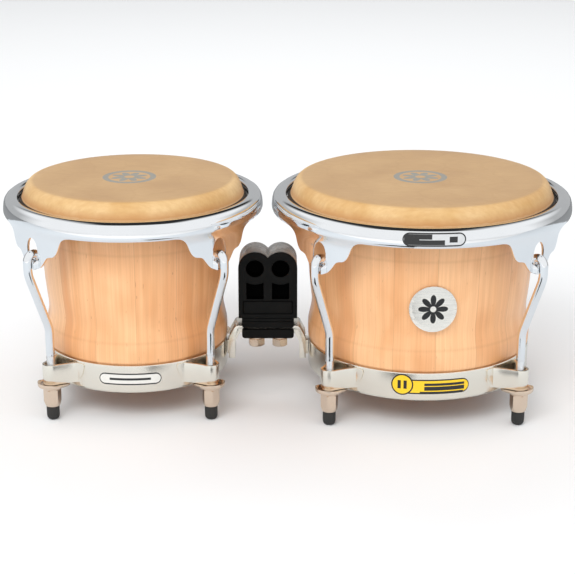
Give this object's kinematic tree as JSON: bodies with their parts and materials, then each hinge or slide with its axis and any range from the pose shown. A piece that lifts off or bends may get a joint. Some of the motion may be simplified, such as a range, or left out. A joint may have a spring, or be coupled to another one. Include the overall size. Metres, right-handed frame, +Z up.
{
  "type": "bongo drums",
  "caption": "Open-bottomed hand drums, small beside large, with tuned skins, hooked tension rods and a clamped centre block, standing on rubber-tipped rods.",
  "frame": {"origin": "centre of the bounding box's bottom, on the floor under the feet", "axes": "+X from the small drum (macho) to the large drum (hembra), +Y away from the player's front view to the back, +Z up"},
  "size_m": [0.5316, 0.2806, 0.2132],
  "materials": {
    "shell_wood": "satin",
    "head_skin": "satin",
    "hoop_metal": "satin",
    "chrome": "polished",
    "ring_metal": "satin",
    "nickel": "satin",
    "rubber": "matte",
    "black_plastic": "satin",
    "cover_metal": "satin",
    "badge_metal": "satin"
  },
  "bodies": {
    "frame": {"macho_shell": "shell_wood", "macho_head": "head_skin", "macho_flesh_hoop": "hoop_metal", "macho_bottom_ring": "ring_metal", "macho_flange_front_left": "nickel", "macho_flange_front_right": "nickel", "macho_flange_rear_right": "nickel", "macho_flange_rear_left": "nickel", "hembra_shell": "shell_wood", "hembra_head": "head_skin", "hembra_flesh_hoop": "hoop_metal", "hembra_bottom_ring": "ring_metal", "hembra_flange_front_left": "nickel", "hembra_flange_front_right": "nickel", "hembra_flange_rear_right": "nickel", "hembra_flange_rear_left": "nickel", "hembra_badge": "badge_metal", "block_front_cap": "black_plastic", "block_rear_cap": "black_plastic", "block_cover": "cover_metal", "block_core": "black_plastic", "bridge_bar_left": "ring_metal", "bridge_bar_right": "ring_metal"},
    "macho_tension_rim": {"macho_rim": "chrome", "macho_rod_front_left": "chrome", "macho_rod_front_right": "chrome", "macho_rod_rear_right": "chrome", "macho_rod_rear_left": "chrome"},
    "macho_tuner_front_left": {"macho_nut_front_left": "nickel", "macho_foot_front_left": "rubber"},
    "macho_tuner_front_right": {"macho_nut_front_right": "nickel", "macho_foot_front_right": "rubber"},
    "macho_tuner_rear_right": {"macho_nut_rear_right": "nickel", "macho_foot_rear_right": "rubber"},
    "macho_tuner_rear_left": {"macho_nut_rear_left": "nickel", "macho_foot_rear_left": "rubber"},
    "hembra_tension_rim": {"hembra_rim": "chrome", "hembra_rod_front_left": "chrome", "hembra_rod_front_right": "chrome", "hembra_rod_rear_right": "chrome", "hembra_rod_rear_left": "chrome"},
    "hembra_tuner_front_left": {"hembra_nut_front_left": "nickel", "hembra_foot_front_left": "rubber"},
    "hembra_tuner_front_right": {"hembra_nut_front_right": "nickel", "hembra_foot_front_right": "rubber"},
    "hembra_tuner_rear_right": {"hembra_nut_rear_right": "nickel", "hembra_foot_rear_right": "rubber"},
    "hembra_tuner_rear_left": {"hembra_nut_rear_left": "nickel", "hembra_foot_rear_left": "rubber"},
    "jaw": {"clamp_jaw": "black_plastic"},
    "bolt_left": {"clamp_bolt_left": "nickel"},
    "bolt_right": {"clamp_bolt_right": "nickel"}
  },
  "joints": [
    {"name": "macho_rim_lift", "type": "slide", "parent": "frame", "child": "macho_tension_rim", "axis": [0, 0, 1], "range_m": [0, 0.0025]},
    {"name": "macho_nut_turn_front_left", "type": "hinge", "parent": "frame", "child": "macho_tuner_front_left", "pos_m": [-0.21809, -0.07354, 0.022], "axis": [0, 0, -1], "range_deg": [0, 720]},
    {"name": "macho_nut_turn_front_right", "type": "hinge", "parent": "frame", "child": "macho_tuner_front_right", "pos_m": [-0.07101, -0.07354, 0.022], "axis": [0, 0, -1], "range_deg": [0, 720]},
    {"name": "macho_nut_turn_rear_right", "type": "hinge", "parent": "frame", "child": "macho_tuner_rear_right", "pos_m": [-0.07101, 0.07354, 0.022], "axis": [0, 0, -1], "range_deg": [0, 720]},
    {"name": "macho_nut_turn_rear_left", "type": "hinge", "parent": "frame", "child": "macho_tuner_rear_left", "pos_m": [-0.21809, 0.07354, 0.022], "axis": [0, 0, -1], "range_deg": [0, 720]},
    {"name": "hembra_rim_lift", "type": "slide", "parent": "frame", "child": "hembra_tension_rim", "axis": [0, 0, 1], "range_m": [0, 0.0025]},
    {"name": "hembra_nut_turn_front_left", "type": "hinge", "parent": "frame", "child": "hembra_tuner_front_left", "pos_m": [0.03849, -0.08701, 0.022], "axis": [0, 0, -1], "range_deg": [0, 720]},
    {"name": "hembra_nut_turn_front_right", "type": "hinge", "parent": "frame", "child": "hembra_tuner_front_right", "pos_m": [0.21251, -0.08701, 0.022], "axis": [0, 0, -1], "range_deg": [0, 720]},
    {"name": "hembra_nut_turn_rear_right", "type": "hinge", "parent": "frame", "child": "hembra_tuner_rear_right", "pos_m": [0.21251, 0.08701, 0.022], "axis": [0, 0, -1], "range_deg": [0, 720]},
    {"name": "hembra_nut_turn_rear_left", "type": "hinge", "parent": "frame", "child": "hembra_tuner_rear_left", "pos_m": [0.03849, 0.08701, 0.022], "axis": [0, 0, -1], "range_deg": [0, 720]},
    {"name": "jaw_drop", "type": "slide", "parent": "frame", "child": "jaw", "axis": [0, 0, -1], "range_m": [0, 0.0025]},
    {"name": "bolt_turn_left", "type": "hinge", "parent": "jaw", "child": "bolt_left", "pos_m": [-0.0298, 0, 0.0526], "axis": [0, 0, -1], "range_deg": [0, 720]},
    {"name": "bolt_turn_right", "type": "hinge", "parent": "jaw", "child": "bolt_right", "pos_m": [-0.0074, 0, 0.0526], "axis": [0, 0, -1], "range_deg": [0, 720]}
  ],
  "couplings": [
    {"joint": "macho_nut_turn_front_left", "follows": "macho_rim_lift", "rad_per_m": 5026.5},
    {"joint": "macho_nut_turn_front_right", "follows": "macho_rim_lift", "rad_per_m": 5026.5},
    {"joint": "macho_nut_turn_rear_right", "follows": "macho_rim_lift", "rad_per_m": 5026.5},
    {"joint": "macho_nut_turn_rear_left", "follows": "macho_rim_lift", "rad_per_m": 5026.5},
    {"joint": "hembra_nut_turn_front_left", "follows": "hembra_rim_lift", "rad_per_m": 5026.5},
    {"joint": "hembra_nut_turn_front_right", "follows": "hembra_rim_lift", "rad_per_m": 5026.5},
    {"joint": "hembra_nut_turn_rear_right", "follows": "hembra_rim_lift", "rad_per_m": 5026.5},
    {"joint": "hembra_nut_turn_rear_left", "follows": "hembra_rim_lift", "rad_per_m": 5026.5},
    {"joint": "bolt_turn_left", "follows": "jaw_drop", "rad_per_m": 5026.5},
    {"joint": "bolt_turn_right", "follows": "jaw_drop", "rad_per_m": 5026.5}
  ]
}
